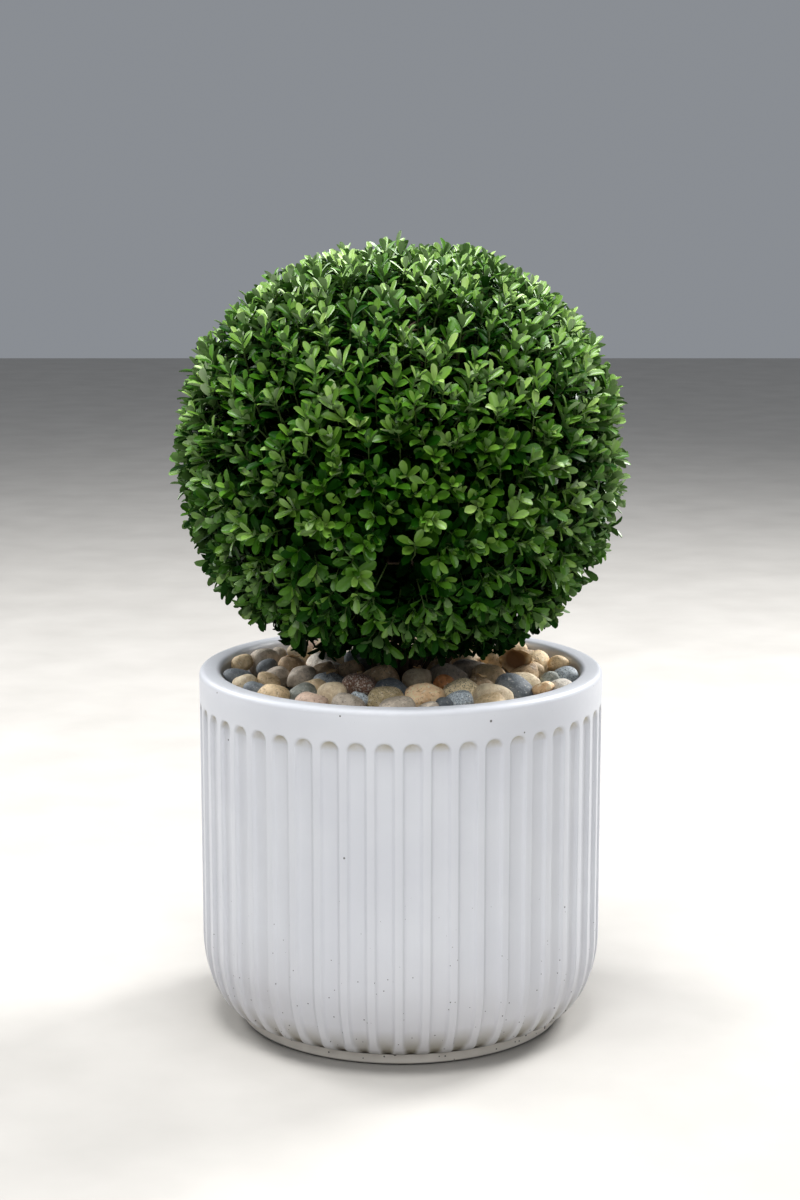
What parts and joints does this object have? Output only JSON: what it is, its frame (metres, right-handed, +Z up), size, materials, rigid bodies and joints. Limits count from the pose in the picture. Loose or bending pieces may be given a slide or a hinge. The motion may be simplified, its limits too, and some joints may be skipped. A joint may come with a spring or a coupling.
{
  "type": "potted box topiary ball",
  "caption": "Clipped evergreen box ball on short stems, in a round white fluted planter with a mulch of river pebbles.",
  "frame": {"origin": "centre of the planter's flat underside", "axes": "+Z up along the planter's axis to the top of the ball, -Y towards the front, +X to the right"},
  "size_m": [0.3684, 0.3686, 0.6445],
  "materials": {
    "white_ceramic": "matte",
    "compost": "matte",
    "river_stone": "matte",
    "bark": "matte",
    "leaves": "satin"
  },
  "bodies": {
    "root": {"pot": "white_ceramic", "root_ball": "compost", "pebble_mulch": "river_stone", "trunk": "bark", "bough_1": "bark", "bough_2": "bark", "bough_3": "bark", "bough_4": "bark", "bough_5": "bark", "bough_6": "bark", "foliage_ball": "leaves"}
  },
  "joints": []
}
